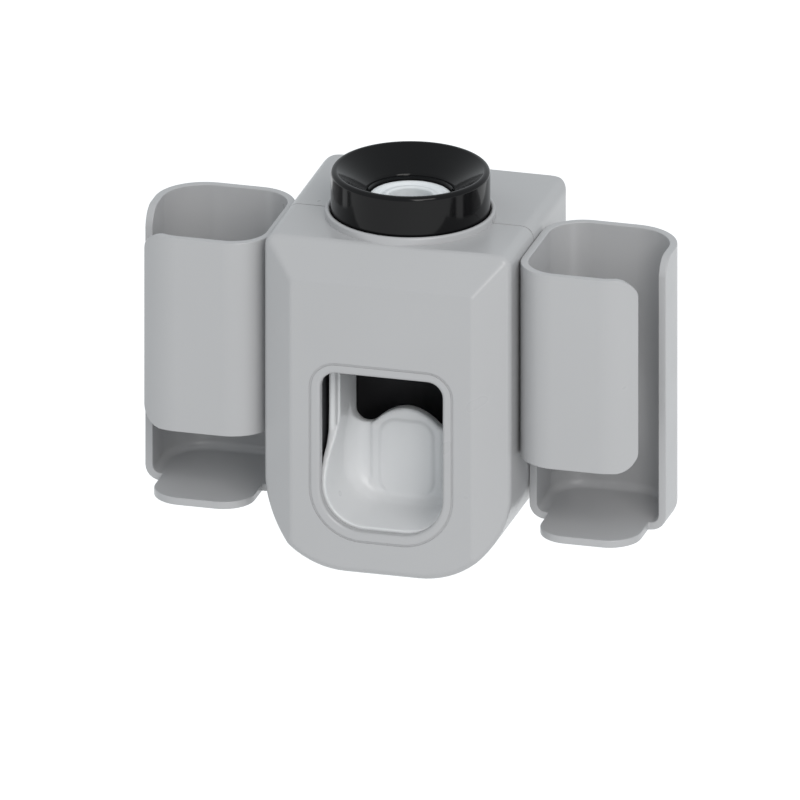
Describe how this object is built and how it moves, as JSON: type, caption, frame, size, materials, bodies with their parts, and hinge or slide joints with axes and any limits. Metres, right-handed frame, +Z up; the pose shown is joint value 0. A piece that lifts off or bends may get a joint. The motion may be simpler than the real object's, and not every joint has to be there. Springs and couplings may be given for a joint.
{
  "type": "toothpaste dispenser",
  "caption": "Wall-hung toothpaste dispenser: a brush pressed into a scoop lever squeezes paste from an upturned tube; a cup hangs on either side.",
  "frame": {"origin": "middle of the adhesive face on the wall", "axes": "+X to the viewer's right, +Y into the wall, +Z up"},
  "size_m": [0.15, 0.0715, 0.1101],
  "materials": {
    "shell_grey": "satin moulded ABS",
    "plate_grey": "plain moulded ABS",
    "adhesive": "foam tape",
    "screw_steel": "zinc plated",
    "pin_steel": "ground",
    "spring_steel": "drawn wire",
    "frame_black": "moulded ABS",
    "collar_black": "polished ABS",
    "oring_rubber": "nitrile rubber",
    "silicone": "milky silicone",
    "lever_white": "glossy moulded ABS"
  },
  "bodies": {
    "wall_mount": {"wall_plate": "plate_grey", "adhesive_pad": "adhesive"},
    "housing": {"front_shell": "shell_grey", "rear_shell": "shell_grey", "case_screws": "screw_steel", "pump_frame": "frame_black", "frame_screws": "screw_steel", "inlet_socket": "frame_black", "inlet_seal": "silicone", "inlet_valve": "silicone", "pump_bulb": "silicone", "outlet_elbow": "frame_black", "outlet_valve": "silicone", "nozzle_tip": "frame_black", "pump_screws": "screw_steel", "lever_pins": "pin_steel", "pin_clips": "pin_steel", "return_spring": "spring_steel"},
    "collar": {"tube_collar": "collar_black", "collar_oring": "oring_rubber"},
    "lever": {"push_lever": "lever_white"},
    "cup_left": {"left_cup": "shell_grey"},
    "cup_right": {"right_cup": "shell_grey"}
  },
  "joints": [
    {"name": "housing_lift", "type": "slide", "parent": "wall_mount", "child": "housing", "axis": [0, 0, 1], "range_m": [0, 0.006]},
    {"name": "lever_push", "type": "hinge", "parent": "housing", "child": "lever", "pos_m": [0, -0.0495, -0.0018], "axis": [1, 0, 0], "range_deg": [0, 15], "stiffness_Nm_per_rad": 0.4, "springref_deg": -8.59, "deforming": ["pump_bulb", "return_spring"]},
    {"name": "collar_lift", "type": "slide", "parent": "housing", "child": "collar", "axis": [0, 0, 1], "range_m": [0, 0.014]},
    {"name": "left_cup_lift", "type": "slide", "parent": "housing", "child": "cup_left", "axis": [0, 0, 1], "range_m": [0, 0.0065]},
    {"name": "right_cup_lift", "type": "slide", "parent": "housing", "child": "cup_right", "axis": [0, 0, 1], "range_m": [0, 0.0065]}
  ]
}
